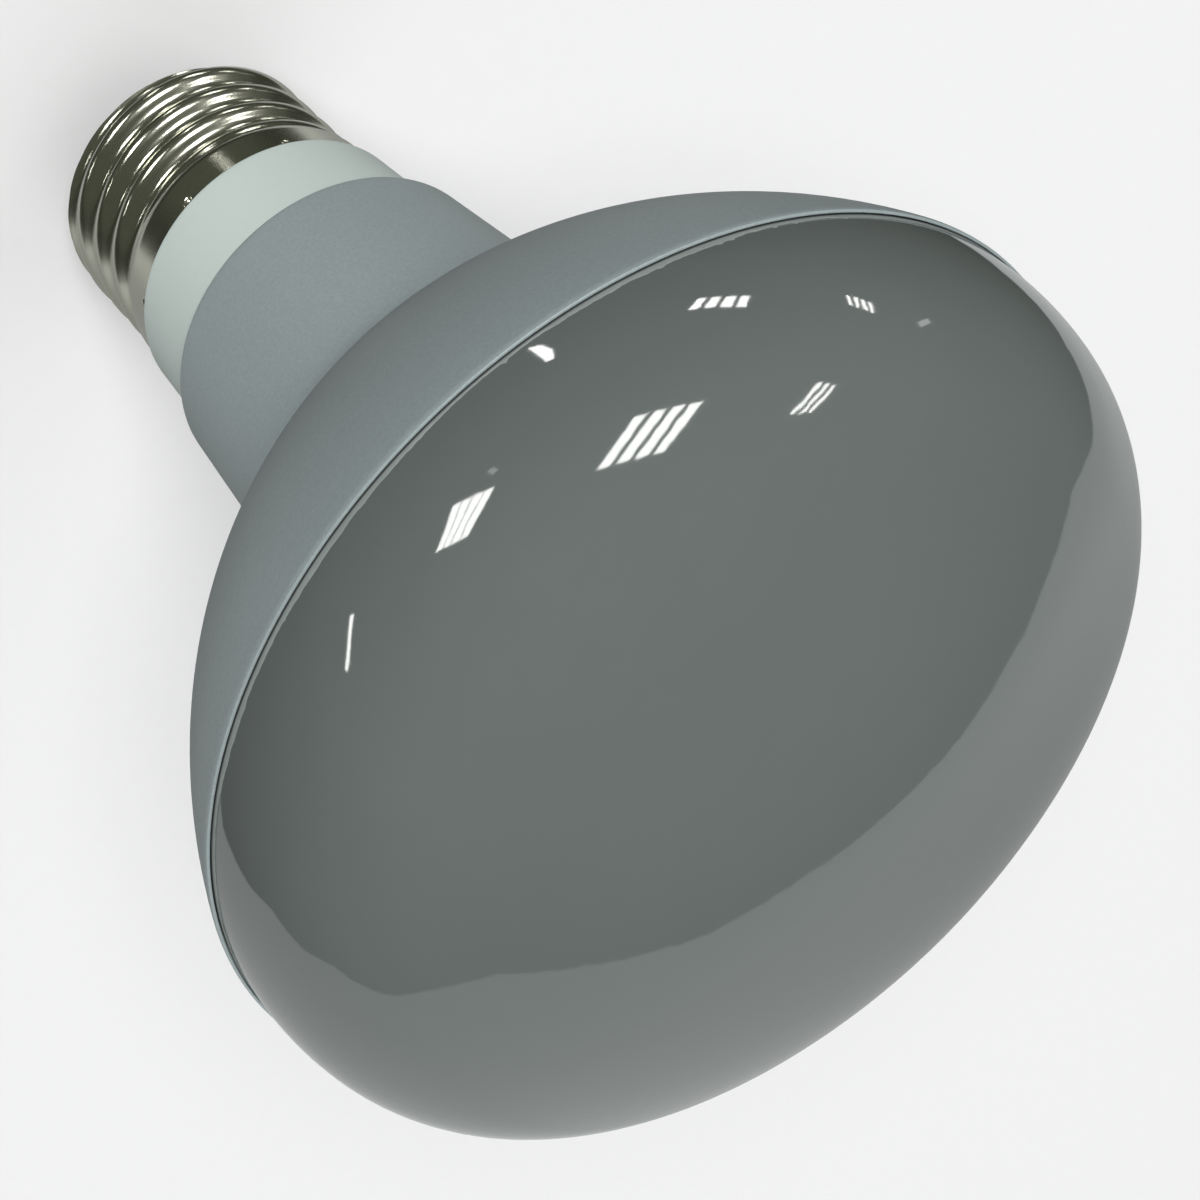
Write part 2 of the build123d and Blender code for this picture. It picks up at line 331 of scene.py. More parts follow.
def housing_outline(sizes):
    """Neck, bowl and lip, with a socket for the collar and a mouth for the dome's foot."""
    taper = sizes.neck_taper
    neck = collar_radius(sizes, NECK_Z) + sizes.neck_step
    outward = step_at(-taper)
    along = step_at(UP - taper)
    round_centre = Vector((neck - sizes.neck_edge, NECK_Z + sizes.neck_edge))
    neck_start = round_centre + outward * sizes.neck_edge
    bowl_z = NECK_Z + sizes.neck_length

    # The bowl is one round that starts on the neck's cone and runs into the lip's round
    bowl_start = neck_start + along * ((bowl_z - neck_start.y) / along.y)
    lip_round = sizes.lip_round
    lip_centre = Vector((LIP - lip_round, SEAM_Z - sizes.lip_edge))
    across = lip_centre - bowl_start
    edge_step = step_at(-sizes.bowl_edge)
    lean = across.dot(edge_step) + lip_round
    bowl_radius = (across.dot(across) + lip_round * (2 * lean - lip_round)) / (2 * lean)
    bowl_centre = lip_centre - edge_step * (bowl_radius - lip_round)

    # The hollow round that touches both the cone and the bowl
    start = neck_start + outward * sizes.neck_fillet
    gap = start - bowl_centre
    back = -gap.dot(along)
    reach = bowl_radius + sizes.neck_fillet
    fillet_centre = start + along * (back - math.sqrt(back**2 - gap.dot(gap) + reach**2))
    to_fillet = fillet_centre - bowl_centre
    bowl_angle = math.atan2(to_fillet.y, to_fillet.x)
    hollow = arc(fillet_centre, sizes.neck_fillet, math.pi - taper, math.pi + bowl_angle, 28)

    ledge = LIP - sizes.lip_wall
    mouth = ledge - sizes.seam_gap - sizes.seal_width + sizes.fit
    edge_centre = (LIP - sizes.lip_edge, SEAM_Z - sizes.lip_edge)
    return [
        (0, SEAT_Z),
        (collar_radius(sizes, SEAT_Z) + sizes.fit, SEAT_Z),
        (collar_radius(sizes, NECK_Z) + sizes.fit, NECK_Z),
        *arc(round_centre, sizes.neck_edge, DOWN, -taper, 10),
        *line(neck_start, hollow[0], 24)[1:],
        *hollow,
        *arc(bowl_centre, bowl_radius, bowl_angle, -sizes.bowl_edge, 72)[1:],
        *arc(lip_centre, lip_round, -sizes.bowl_edge, OUT, 8)[1:],
        *arc(edge_centre, sizes.lip_edge, OUT, UP, 6)[1:],
        (ledge, SEAM_Z),
        (ledge, LEDGE_Z),
        (mouth, LEDGE_Z),
        (mouth, FOOT_Z),
        (0, FOOT_Z),
    ]


def dome_side(sizes):
    """Centre of the dome's side round."""
    edge = LIP - sizes.lip_wall - sizes.seam_gap
    inward = math.sqrt(sizes.dome_side**2 - sizes.dome_widest**2)
    return Vector((edge - inward, SEAM_Z + sizes.dome_widest))


def dome_outline(sizes):
    """Dome that starts behind the adhesive: a foot, a side, a shoulder and a crown."""
    side, side_angle = sizes.dome_side, sizes.dome_side_angle
    side_centre = dome_side(sizes)
    shoulder_centre = side_centre + step_at(side_angle) * (side - sizes.dome_shoulder)
    crown_reach = sizes.dome_crown - sizes.dome_shoulder
    crown_angle = math.acos(shoulder_centre.x / crown_reach)
    crown_centre = shoulder_centre - step_at(crown_angle) * crown_reach
    crown = arc(crown_centre, sizes.dome_crown, crown_angle, UP, 84)
    foot = LIP - sizes.lip_wall - sizes.seam_gap - sizes.seal_width
    start_z = LEDGE_Z + DOME_START
    start = math.asin((start_z - side_centre.y) / side)
    return [
        (0, FOOT_Z),
        (foot, FOOT_Z),
        (foot, start_z),
        *arc(side_centre, side, start, side_angle, 26),
        *arc(shoulder_centre, sizes.dome_shoulder, side_angle, crown_angle, 56)[1:],
        *crown[1:-1],
        (0, crown[-1].y),
    ]


def seal_outline(sizes):
    """Band of adhesive: a rounded bead outside the dome's side, and a back inside it."""
    side_centre = dome_side(sizes)

    def on_side(height, out):
        across = math.sqrt(sizes.dome_side**2 - (height - side_centre.y) ** 2)
        return (side_centre.x + across + out, height)

    steps = 14
    base_z = LEDGE_Z + SEAL_START
    shares = [step / steps for step in range(steps + 1)]
    heights = [base_z + (SEAL_Z - base_z) * step / steps for step in range(steps + 1)]
    bead = [math.sqrt(max(1 - share**BEAD_POWER, 0)) for share in shares]
    outer = [on_side(height, sizes.seal_proud * swell) for height, swell in zip(heights, bead)]
    inner = [on_side(height, -SEAL_BACK) for height in (heights[-1], heights[0])]
    return [inner[1], *outer, *inner]


def wire(name, points):
    """Object whose mesh is a half outline in the XZ plane."""
    mesh = bpy.data.meshes.new(name)
    spots = [(point[0], 0, point[1]) for point in points]
    mesh.from_pydata(spots, [(place, place + 1) for place in range(len(spots) - 1)], [])
    made = bpy.data.objects.new(name, mesh)
    bpy.context.scene.collection.objects.link(made)
    return made


class Value:
    """Output of a node, with Python's signs for the maths nodes that it leads to."""

    def __init__(self, socket):
        self.socket = socket
        self.tree = socket.id_data

    def out(self, key):
        """Another output of the same node."""
        return Value(self.socket.node.outputs[key])

    def maths(self, operation, *others):
        """Result of a maths node that starts with this value."""
        return maths(self.tree, operation, self, *others)

    def __add__(self, other):
        return self.maths("ADD", other)

    def __sub__(self, other):
        return self.maths("SUBTRACT", other)

    def __mul__(self, other):
        return self.maths("MULTIPLY", other)

    def __truediv__(self, other):
        return self.maths("DIVIDE", other)

    def __rtruediv__(self, other):
        return maths(self.tree, "DIVIDE", other, self)

    def __gt__(self, other):
        return self.maths("GREATER_THAN", other)

    def __lt__(self, other):
        return self.maths("LESS_THAN", other)


def feed(node, feeds):
    """Links or sets a node's named or numbered inputs."""
    for key, value in feeds.items():
        if isinstance(value, Value):
            value.tree.links.new(value.socket, node.inputs[key])
        else:
            node.inputs[key].default_value = value


def put(tree, kind, feeds=None, **options):
    """Adds a node, sets it up, feeds it, and returns its first output."""
    made = tree.nodes.new(kind)
    for key, value in options.items():
        setattr(made, key, value)
    feed(made, feeds or {})
    return Value(made.outputs[0])


def maths(tree, operation, *values):
    """Result of a maths node."""
    return put(tree, "ShaderNodeMath", dict(enumerate(values)), operation=operation)


def split(vector):
    """The three parts of a vector."""
    first = put(vector.tree, "ShaderNodeSeparateXYZ", {0: vector})
    return first, first.out(1), first.out(2)


def noise(place, scale, detail, roughness=0.5):
    """Cloudy value about a half."""
    feeds = {"Vector": place, "Scale": scale, "Detail": detail, "Roughness": roughness}
    return put(place.tree, "ShaderNodeTexNoise", feeds)


def ramp(value, start, end, low, high, kind="SMOOTHSTEP"):
    """Rise from a low to a high level while a value goes from a start to an end."""
    limits = {0: value, 1: start, 2: end, 3: low, 4: high}
    return put(value.tree, "ShaderNodeMapRange", limits, interpolation_type=kind)


def polar(tree):
    """Radius, angle and height of the point that a node tree is at."""
    x, y, z = split(put(tree, "GeometryNodeInputPosition"))
    return (x * x + y * y).maths("SQRT"), y.maths("ARCTAN2", x), z


def from_polar(radius, turn, height):
    """Point at a radius, an angle and a height."""
    spot = {0: turn.maths("COSINE") * radius, 1: turn.maths("SINE") * radius, 2: height}
    return put(turn.tree, "ShaderNodeCombineXYZ", spot)


def bow(radius, across):
    """Height of a round at a distance from its middle, and nothing past its end."""
    return (radius * radius - across * across).maths("MAXIMUM", 0.0).maths("SQRT")


def move(surface, place, chosen=True):
    """Moves a surface's chosen points to a place."""
    feeds = {"Geometry": surface, "Selection": chosen, "Position": place}
    return put(surface.tree, "GeometryNodeSetPosition", feeds)


def new_tree(name, kind, inputs, outputs):
    """Node tree with sockets of the named kinds, and its inputs by name."""
    tree = bpy.data.node_groups.new(name, kind)
    for side, sockets in (("INPUT", inputs), ("OUTPUT", outputs)):
        for title, socket in sockets.items():
            socket_type = f"NodeSocket{socket}"
            tree.interface.new_socket(name=title, in_out=side, socket_type=socket_type)
    given = tree.nodes.new("NodeGroupInput").outputs
    return tree, {title: Value(given[title]) for title in inputs}


def end_tree(tree, results):
    """Leads values to a tree's named outputs."""
    feed(tree.nodes.new("NodeGroupOutput"), results)
    return tree


def kept_tree(name, maker):
    """A node tree that is made once and then used again."""
    return bpy.data.node_groups.get(name) or maker()


def turned_form():
    """Group that carries a half outline round the Z axis, its columns bunched if asked."""
    tree, given = new_tree(
        "Turned form",
        "GeometryNodeTree",
        {"Outline": "Geometry", "Segments": "Int", "Bunches": "Int", "Bunching": "Float"},
        {"Surface": "Geometry"},
    )
    outline, bunches = given["Outline"], given["Bunches"]
    position = put(tree, "GeometryNodeInputPosition")
    rows = put(tree, "GeometryNodeAttributeDomainSize", {0: outline}, component="MESH")
    columns = given["Segments"] + 1
    cells = {"Size X": 1.0, "Size Y": 1.0, "Vertices X": columns, "Vertices Y": rows}
    grid = put(tree, "GeometryNodeMeshGrid", cells)

    # Each row of the grid takes its radius and height from one point of the outline
    across, up, _ = split(position)
    row = (up + 0.5) * (rows - 1)
    index = put(tree, "FunctionNodeFloatToInt", {0: row}, rounding_mode="ROUND")
    sample = {"Geometry": outline, "Value": position, "Index": index}
    point = put(tree, "GeometryNodeSampleIndex", sample, data_type="FLOAT_VECTOR", domain="POINT")
    radius, _, height = split(point)
    even = (across + 0.5) * math.tau
    shift = (even * bunches).maths("SINE") * given["Bunching"] / bunches
    placed = move(grid, from_polar(radius, even - shift, height))
    ends = {"Geometry": placed, "Distance": MERGE_REACH}
    return end_tree(tree, {"Surface": put(tree, "GeometryNodeMergeByDistance", ends)})


def finish_form():
    """Group that shades a surface smooth, keeps its creases, and gives it its finish."""
    tree, given = new_tree(
        "Finished form",
        "GeometryNodeTree",
        {"Surface": "Geometry", "Crease": "Float", "Finish": "Material"},
        {"Surface": "Geometry"},
    )
    shading = "GeometryNodeSetShadeSmooth"
    smooth = put(tree, shading, {0: given["Surface"], 2: True}, domain="FACE")
    crease = put(tree, "GeometryNodeInputMeshEdgeAngle") > given["Crease"]
    edges = put(tree, shading, {0: smooth, 1: crease, 2: False}, domain="EDGE")
    real = put(tree, "GeometryNodeRealizeInstances", {0: edges})
    feeds = {"Geometry": real, "Material": given["Finish"]}
    return end_tree(tree, {"Surface": put(tree, "GeometryNodeSetMaterial", feeds)})


COMMON_INPUTS = {
    "Outline": "Geometry", "Segments": "Int", "Crease": "Float", "Finish": "Material",
}


def begin_piece(name, amounts, marks=None):
    """Tree of a piece, its inputs, and its turned surface, bunched at its marks if it has any."""
    inputs = {**COMMON_INPUTS, **dict.fromkeys(amounts, "Float")}
    if marks:
        inputs[marks] = "Int"
    tree, given = new_tree(name, "GeometryNodeTree", inputs, {"Piece": "Geometry"})
    feeds = {"Outline": given["Outline"], "Segments": given["Segments"], "Bunches": 1}
    if marks:
        feeds |= {"Bunches": given[marks], "Bunching": MARK_BUNCHING}
    form = kept_tree("Turned form", turned_form)
    return tree, given, put(tree, "GeometryNodeGroup", feeds, node_tree=form)


def end_piece(tree, given, surface):
    """Gives a piece's surface its shading and finish, and puts it out."""
    feeds = {"Surface": surface, "Crease": given["Crease"], "Finish": given["Finish"]}
    form = kept_tree("Finished form", finish_form)
    return end_tree(tree, {"Piece": put(tree, "GeometryNodeGroup", feeds, node_tree=form)})


def turned_piece():
    """Tree of a plain turned piece, with a little unevenness where it is asked for."""
    tree, given, turned = begin_piece("Turned piece", ["Unevenness", "Unevenness scale"])
    place = put(tree, "GeometryNodeInputPosition")
    normal = put(tree, "GeometryNodeInputNormal")
    lift = (noise(place, given["Unevenness scale"], detail=2.0) - 0.5) * given["Unevenness"]
    offset = put(tree, "ShaderNodeVectorMath", {0: normal, "Scale": lift}, operation="SCALE")
    feeds = {"Geometry": turned, "Offset": offset}
    return end_piece(tree, given, put(tree, "GeometryNodeSetPosition", feeds))


def rolled_cap():
    """Tree of the cap: a round thread rolled into the blank, a shoulder, a skirt and its marks."""
    lengths = [
        "Crest", "Depth", "Pitch", "Thread start",
        "Skirt", "Skirt height", "Shoulder",
        "Mark height", "Mark radius", "Mark depth",
        "Inner wall", "Skirt wall", "Rim height", "Blend",
    ]
    tree, given, turned = begin_piece("Rolled cap", lengths, marks="Marks")
    radius, turn, height = polar(tree)
    crest, depth, pitch, skirt = (given[title] for title in ("Crest", "Depth", "Pitch", "Skirt"))

    # Round crests and roots of one radius, each a quarter of the pitch to either side
    quarter, half_pitch, half_depth = pitch / 4.0, pitch / 2.0, depth / 2.0
    curve = (quarter * quarter + half_depth * half_depth) / depth
    along = height - given["Thread start"] - turn * (pitch / math.tau)
    across = along.maths("WRAP", half_pitch, half_pitch * -1.0).maths("ABSOLUTE")
    ridge = crest - curve + bow(curve, across)
    valley = crest - depth + curve - bow(curve, half_pitch - across)
    thread = valley + (across < quarter) * (ridge - valley)

    # The rim rounds the thread off at one end, and the skirt's shoulder at the other
    rolled = thread.maths("SMOOTH_MIN", radius, given["Blend"])
    below = (given["Skirt height"] - height).maths("MAXIMUM", 0.0)
    shoulder = skirt - given["Shoulder"] + bow(given["Shoulder"], below)
    formed = rolled.maths("SMOOTH_MAX", shoulder, given["Blend"])

    # Punch marks along the skirt's edge
    share = math.pi / given["Marks"]
    side = turn.maths("WRAP", share, share * -1.0).maths("SINE") * skirt
    rise = height - given["Mark height"]
    away = (side * side + rise * rise).maths("SQRT")
    punch = given["Mark radius"]
    dent = skirt + punch - given["Mark depth"] - bow(punch, away)
    marked = formed.maths("SMOOTH_MIN", dent, MARK_BLEND)

    # Only the outside is formed: the inner wall stays as drawn, in the wider skirt too
    past_skirt, past_root = radius > given["Skirt wall"], radius > given["Inner wall"]
    outside = past_skirt.maths("MAXIMUM", height < given["Rim height"]) * past_root
    return end_piece(tree, given, move(turned, from_polar(marked, turn, height), outside))


def ragged_seal():
    """Tree of the adhesive: its top edge rises and falls along the dome's side, with drips."""
    amounts = [
        "Seam height", "Side centre radius", "Side centre height", "Side radius",
        "Spread", "Swell", "Raggedness", "Drips",
    ]
    tree, given, turned = begin_piece("Ragged seal", amounts)
    radius, turn, height = polar(tree)
    ring = from_polar(1.0, turn, 0.0)
    wide = (noise(ring, *SWELL_NOISE) - 0.5) * given["Swell"]
    uneven = (noise(ring, *RAGGED_NOISE) - 0.5) * given["Raggedness"]
    drip = (noise(ring, *DRIP_NOISE) - DRIP_LEVEL).maths("MAXIMUM", 0.0)
    edge = (wide + uneven + given["Spread"]).maths("MAXIMUM", LEAST_STRETCH)
    above = height - given["Seam height"]
    new_height = given["Seam height"] + above * (edge + drip * given["Drips"])

    def side_at(level):
        across = level - given["Side centre height"]
        return given["Side centre radius"] + bow(given["Side radius"], across)

    new_radius = radius + (side_at(new_height) - side_at(height))
    place = from_polar(new_radius, turn, new_height)
    return end_piece(tree, given, move(turned, place, above > 0.0))


def form_piece(name, points, values, node, tree=None):
    """Grows a piece from its outline, as a plain mesh in the frame that stands for a CAD node."""
    tree = tree or kept_tree("Turned piece", turned_piece)
    piece = wire(name, points)
    drawn = piece.data
    grown = piece.modifiers.new(tree.name, "NODES")
    grown.node_group = tree
    items = [item for item in tree.interface.items_tree if item.in_out == "INPUT"]
    sockets = {item.name: item.identifier for item in items}
    for title, value in values.items():
        grown[sockets[title]] = value
    graph = bpy.context.evaluated_depsgraph_get()
    solid = bpy.data.meshes.new_from_object(
        piece.evaluated_get(graph), preserve_all_data_layers=True, depsgraph=graph
    )
    piece.modifiers.remove(grown)
    piece.data = solid
    bpy.data.meshes.remove(drawn)
    solid.name = name
    if not solid.polygons:
        raise RuntimeError(f"{name} has no faces")
    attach(piece, "root")
    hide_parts(node)


# Inputs of the finishes' groups, in the order in which a finish gives them
MOTTLE_AMOUNTS = ("Cloud scale", "Cloud amount", "Grain scale", "Grain amount")
GLOSS_AMOUNTS = ("Roughness", "Spread", "Scale")
LEAST_ROUGHNESS = 0.02


def mottle_group():
    """Colour with broad clouds and a fine grain."""
    tree, given = new_tree(
        "Mottled colour",
        "ShaderNodeTree",
        {"Colour": "Color", **dict.fromkeys(MOTTLE_AMOUNTS, "Float")},
        {"Colour": "Color", "Grain": "Float"},
    )
    place = put(tree, "ShaderNodeTexCoord").out("Object")
    clouds = noise(place, given["Cloud scale"], detail=3.0)
    grain = noise(place, given["Grain scale"], detail=2.0)
    cloud_part = (clouds - 0.5) * given["Cloud amount"]
    level = cloud_part + (grain - 0.5) * given["Grain amount"] + 1.0
    toned = put(tree, "ShaderNodeHueSaturation", {"Value": level, "Color": given["Colour"]})
    return end_tree(tree, {"Colour": toned, "Grain": grain})


def gloss_group():
    """Roughness that varies in smears and specks, and is never quite nothing."""
    tree, given = new_tree(
        "Patchy gloss",
        "ShaderNodeTree",
        dict.fromkeys(GLOSS_AMOUNTS, "Float"),
        {"Roughness": "Float"},
    )
    place = put(tree, "ShaderNodeTexCoord").out("Object")
    smears = noise(place, given["Scale"], detail=5.0, roughness=0.65)
    rough = given["Roughness"] + (smears - 0.5) * given["Spread"]
    return end_tree(tree, {"Roughness": rough.maths("MAXIMUM", LEAST_ROUGHNESS)})


def foot_group():
    """Colour that darkens towards a piece's foot, where a gap holds the light off."""
    tree, given = new_tree(
        "Shaded foot",
        "ShaderNodeTree",
        {"Colour": "Color", "Height": "Float", "Rise": "Float", "Shade": "Float"},
        {"Colour": "Color"},
    )
    height = split(put(tree, "ShaderNodeTexCoord").out("Object"))[2]
    foot = given["Height"]
    level = ramp(height, foot, foot + given["Rise"], given["Shade"], 1.0)
    toned = put(tree, "ShaderNodeHueSaturation", {"Value": level, "Color": given["Colour"]})
    return end_tree(tree, {"Colour": toned})


def shade_foot(material, height, rise, shade):
    """Darkens a finish towards the foot of its piece."""
    tree = material.node_tree
    shader = tree.nodes["Principled BSDF"]
    tone = Value(shader.inputs["Base Color"].links[0].from_socket)
    feeds = {"Colour": tone, "Height": height, "Rise": rise, "Shade": shade}
    foot = put(tree, "ShaderNodeGroup", feeds, node_tree=kept_tree("Shaded foot", foot_group))
    feed(shader, {"Base Color": foot})


def finish(name, tint, clouds, grain, gloss, relief, **constants):
    """Material with mottled colour, patchy gloss and a fine relief.

    Clouds and grain are a scale and an amount, gloss is a roughness, its spread and the scale of
    its patches, relief is a depth and a strength, and the constants are the shader's own.
    """
    made = bpy.data.materials.new(name)
    made.use_nodes = True
    tree = made.node_tree
    tones = {"Colour": (*tint, 1), **dict(zip(MOTTLE_AMOUNTS, (*clouds, *grain)))}
    mottling = kept_tree("Mottled colour", mottle_group)
    mottle = put(tree, "ShaderNodeGroup", tones, node_tree=mottling)
    smears = dict(zip(GLOSS_AMOUNTS, gloss))
    patching = kept_tree("Patchy gloss", gloss_group)
    patches = put(tree, "ShaderNodeGroup", smears, node_tree=patching)
    depths = {"Height": mottle.out("Grain"), "Distance": relief[0], "Strength": relief[1]}
    bump = put(tree, "ShaderNodeBump", depths)
    varying = {"Base Color": mottle.out("Colour"), "Roughness": patches, "Normal": bump}
    feed(tree.nodes["Principled BSDF"], {**constants, **varying})
    return made


def settings(context):
    """The sizes and finishes of the scene's lamp."""
    return context.scene.lamp_sizes, context.scene.lamp_finishes


class LAMP_OT_centre_contact(bpy.types.Operator):
    """Makes the tinned disc with its bead of solder"""

    bl_idname = "lamp.centre_contact"
    bl_label = "Centre contact"

    def execute(self, context):
        sizes, finishes = settings(context)
        solder = finish(
            "tinned solder", finishes.solder, clouds=(400, 0.25), grain=(2500, 0.2),
            gloss=(0.34, 0.2, 500), relief=(0.03 * MM, 0.4), Metallic=1.0,
        )
        values = {
            "Segments": 128, "Crease": 50 * DEG, "Finish": solder,
            "Unevenness": 0.09 * MM, "Unevenness scale": 700.0,
        }
        outline = contact_outline(sizes)
        form_piece("centre_contact_disc", outline, values, "centre_contact")
        return {"FINISHED"}


class LAMP_OT_cap_insulator(bpy.types.Operator):
    """Makes the black glass button that carries the contact"""

    bl_idname = "lamp.cap_insulator"
    bl_label = "Insulator"

    def execute(self, context):
        sizes, finishes = settings(context)
        glass = finish(
            "black glass", finishes.glass, clouds=(150, 0.3), grain=(1500, 0.2),
            gloss=(0.10, 0.08, 300), relief=(0.02 * MM, 0.2), IOR=1.52,
        )
        values = {
            "Segments": 160, "Crease": 40 * DEG, "Finish": glass,
            "Unevenness": 0.05 * MM, "Unevenness scale": 350.0,
        }
        outline = insulator_outline(sizes)
        form_piece("insulator_button", outline, values, "cap_insulator")
        return {"FINISHED"}


class LAMP_OT_cap_shell(bpy.types.Operator):
    """Makes the rolled screw cap"""

    bl_idname = "lamp.cap_shell"
    bl_label = "Screw cap"

    def execute(self, context):
        sizes, finishes = settings(context)
        nickel = finish(
            "nickel plate", finishes.nickel, clouds=(90, 0.12), grain=(1800, 0.05),
            gloss=(0.23, 0.10, 420), relief=(0.006 * MM, 0.25), Metallic=1.0,
        )
        values = {
            "Segments": 400, "Crease": 55 * DEG, "Finish": nickel,
            "Crest": sizes.crest, "Depth": sizes.thread_depth, "Pitch": sizes.thread_pitch,
            "Thread start": RIM_Z, "Blend": ROLL_BLEND,
            "Skirt": SKIRT, "Skirt height": COLLAR_Z - sizes.skirt_length,
            "Shoulder": sizes.shoulder_round,
            "Marks": sizes.crimp_count, "Mark height": COLLAR_Z - sizes.crimp_from_edge,
            "Mark radius": sizes.crimp_radius, "Mark depth": sizes.crimp_depth,
            "Inner wall": sizes.crest - sizes.thread_depth - ROOT_SPARE,
            "Skirt wall": SKIRT - sizes.cap_sheet / 2,
            "Rim height": RIM_Z + sizes.rim_round + RIM_SPARE,
        }
        tree = kept_tree("Rolled cap", rolled_cap)
        form_piece("screw_cap", cap_outline(sizes), values, "cap_shell", tree)
        return {"FINISHED"}


class LAMP_OT_collar(bpy.types.Operator):
    """Makes the off-white collar"""

    bl_idname = "lamp.collar"
    bl_label = "Collar"

    def execute(self, context):
        sizes, finishes = settings(context)
        plastic = finish(
            "off-white plastic", finishes.plastic, clouds=(120, 0.06), grain=(3800, 0.05),
            gloss=(0.55, 0.1, 300), relief=(0.02 * MM, 0.3), IOR=1.46,
        )
        values = {"Segments": 224, "Crease": 40 * DEG, "Finish": plastic}
        form_piece("collar_band", collar_outline(sizes), values, "collar")
        return {"FINISHED"}


class LAMP_OT_reflector_housing(bpy.types.Operator):
    """Makes the painted neck, bowl and lip"""

    bl_idname = "lamp.reflector_housing"
    bl_label = "Housing"

    def execute(self, context):
        sizes, finishes = settings(context)
        paint = finish(
            "silver-grey paint", finishes.paint, clouds=(40, 0.06), grain=(3400, 0.32),
            gloss=(0.48, 0.08, 200), relief=(0.03 * MM, 0.35), Metallic=0.15,
        )
        values = {"Segments": 320, "Crease": 40 * DEG, "Finish": paint}
        outline = housing_outline(sizes)
        form_piece("painted_housing", outline, values, "reflector_housing")
        return {"FINISHED"}


class LAMP_OT_dome_seal(bpy.types.Operator):
    """Makes the ragged band of adhesive along the seam"""

    bl_idname = "lamp.dome_seal"
    bl_label = "Seal"

    def execute(self, context):
        sizes, finishes = settings(context)
        adhesive = finish(
            "cured adhesive", finishes.adhesive, clouds=(260, 0.3), grain=(2600, 0.2),
            gloss=(0.42, 0.2, 600), relief=(0.03 * MM, 0.4), IOR=1.45,
        )
        shade_foot(adhesive, SEAM_Z - FOOT_DROP, FOOT_RISE, FOOT_SHADE)
        side_centre = dome_side(sizes)
        values = {
            "Segments": 1400, "Crease": 60 * DEG, "Finish": adhesive,
            "Seam height": SEAM_Z, "Side radius": sizes.dome_side,
            "Side centre radius": side_centre.x, "Side centre height": side_centre.y,
            "Spread": 1.2, "Swell": 2.8, "Raggedness": 1.2, "Drips": 10.0,
        }
        tree = kept_tree("Ragged seal", ragged_seal)
        form_piece("seam_adhesive", seal_outline(sizes), values, "dome_seal", tree)
        return {"FINISHED"}


class LAMP_OT_front_dome(bpy.types.Operator):
    """Makes the glossy opal dome"""

    bl_idname = "lamp.front_dome"
    bl_label = "Dome"

    def execute(self, context):
        sizes, finishes = settings(context)
        opal = finish(
            "glossy opal", finishes.opal, clouds=(45, 0.08), grain=(330, 0.03),
            gloss=(0.05, 0.03, 160), relief=(0.012 * MM, 1.0), IOR=1.5,
        )
        values = {"Segments": 384, "Crease": 40 * DEG, "Finish": opal}
        form_piece("opal_dome", dome_outline(sizes), values, "front_dome")
        return {"FINISHED"}


# The room that the gloss mirrors: its up direction, and its two level directions
ROOM_UP = Vector((-0.364366, -0.875327, 0.317869)).normalized()
ROOM_ACROSS = ROOM_UP.cross(Vector((0, 0, 1))).normalized()
ROOM_ALONG = ROOM_UP.cross(ROOM_ACROSS)
ROOM_TURN = Matrix((ROOM_ACROSS, ROOM_ALONG, ROOM_UP)).transposed().to_4x4()
ROOM_REACH = 9.0
TABLE_HEIGHT = -11.3 * MM
CEILING_HEIGHT = 1.8
CEILING_GAP = 0.01

# Middle of each ceiling light in the room, its tubes, their pitch, length and width, in metres
CEILING_LIGHTS = [
    ((0.383, -0.191), 4, 0.156, 0.520, 0.105),
    ((1.850, -1.250), 3, 0.160, 0.540, 0.080),
    ((-0.956, 0.870), 4, 0.132, 0.490, 0.118),
    ((2.010, 1.780), 4, 0.165, 0.470, 0.110),
    ((4.150, 0.846), 4, 0.180, 0.700, 0.085),
    ((-3.763, 1.965), 1, 0.200, 1.050, 0.230),
]

# A bright patch far along the ceiling
CEILING_PATCH = [
    (0.61, 4.18), (0.66, 3.67), (0.59, 2.98), (0.46, 2.45), (0.39, 2.56), (0.52, 3.51),
]

# Fainter spots beside the ceiling's lights, and how many times fainter they are
FAINT_PATCHES = [
    [(-0.60, 1.17), (-0.53, 1.14), (-0.52, 1.04), (-0.58, 1.04)],
    [(6.1, -0.45), (6.1, -0.20), (8.0, 0.0), (8.0, -0.30)],
]
FAINTNESS = 6

# Edge of the pale table in the room, in metres
TABLE_EDGE = [
    (-0.110, 0.090), (-0.090, -0.037), (-0.107, -0.056), (-0.121, -0.068), (-0.1285, -0.125),
    (-0.067, -0.188), (-0.032, -0.181), (-0.015, -0.177), (0.010, -0.179), (0.038, -0.174),
    (0.060, -0.169), (0.090, -0.165), (0.130, -0.159), (0.139, -0.108), (0.136, -0.072),
    (0.108, -0.041), (0.087, -0.032), (0.110, 0.090),
]

# Middles of the lamp's shade on the table, below the dome and the cap, and its start and end
SHADE_PLACES = [(0.030, -0.080), (0.0, -0.005)]
SHADE_REACHES = [(0.020, 0.078), (0.030, 0.130)]

# Tints of what the gloss mirrors
TABLE_TINT = (0.97, 1.0, 0.985)
TUBE_TINT = (1.0, 1.0, 0.975)
SPOT_TINT = (1.0, 1.0, 0.97)

# Where the lights come from, and how far they spread in degrees
KEY_WAY = ROOM_UP * 0.92 - ROOM_ALONG * 0.34 - ROOM_ACROSS * 0.2
FILL_WAY = Vector((0.62, 0.6, 0.5))
SIDE_WAY = Vector((-0.75, 0.35, 0.52))
KEY_SPREAD, FILL_SPREAD = 32, 70

# The soft light from above: the rise of its direction over which it grows, and its levels
SKY_RISE = (-0.15, 0.25, 0.3, 1.0)

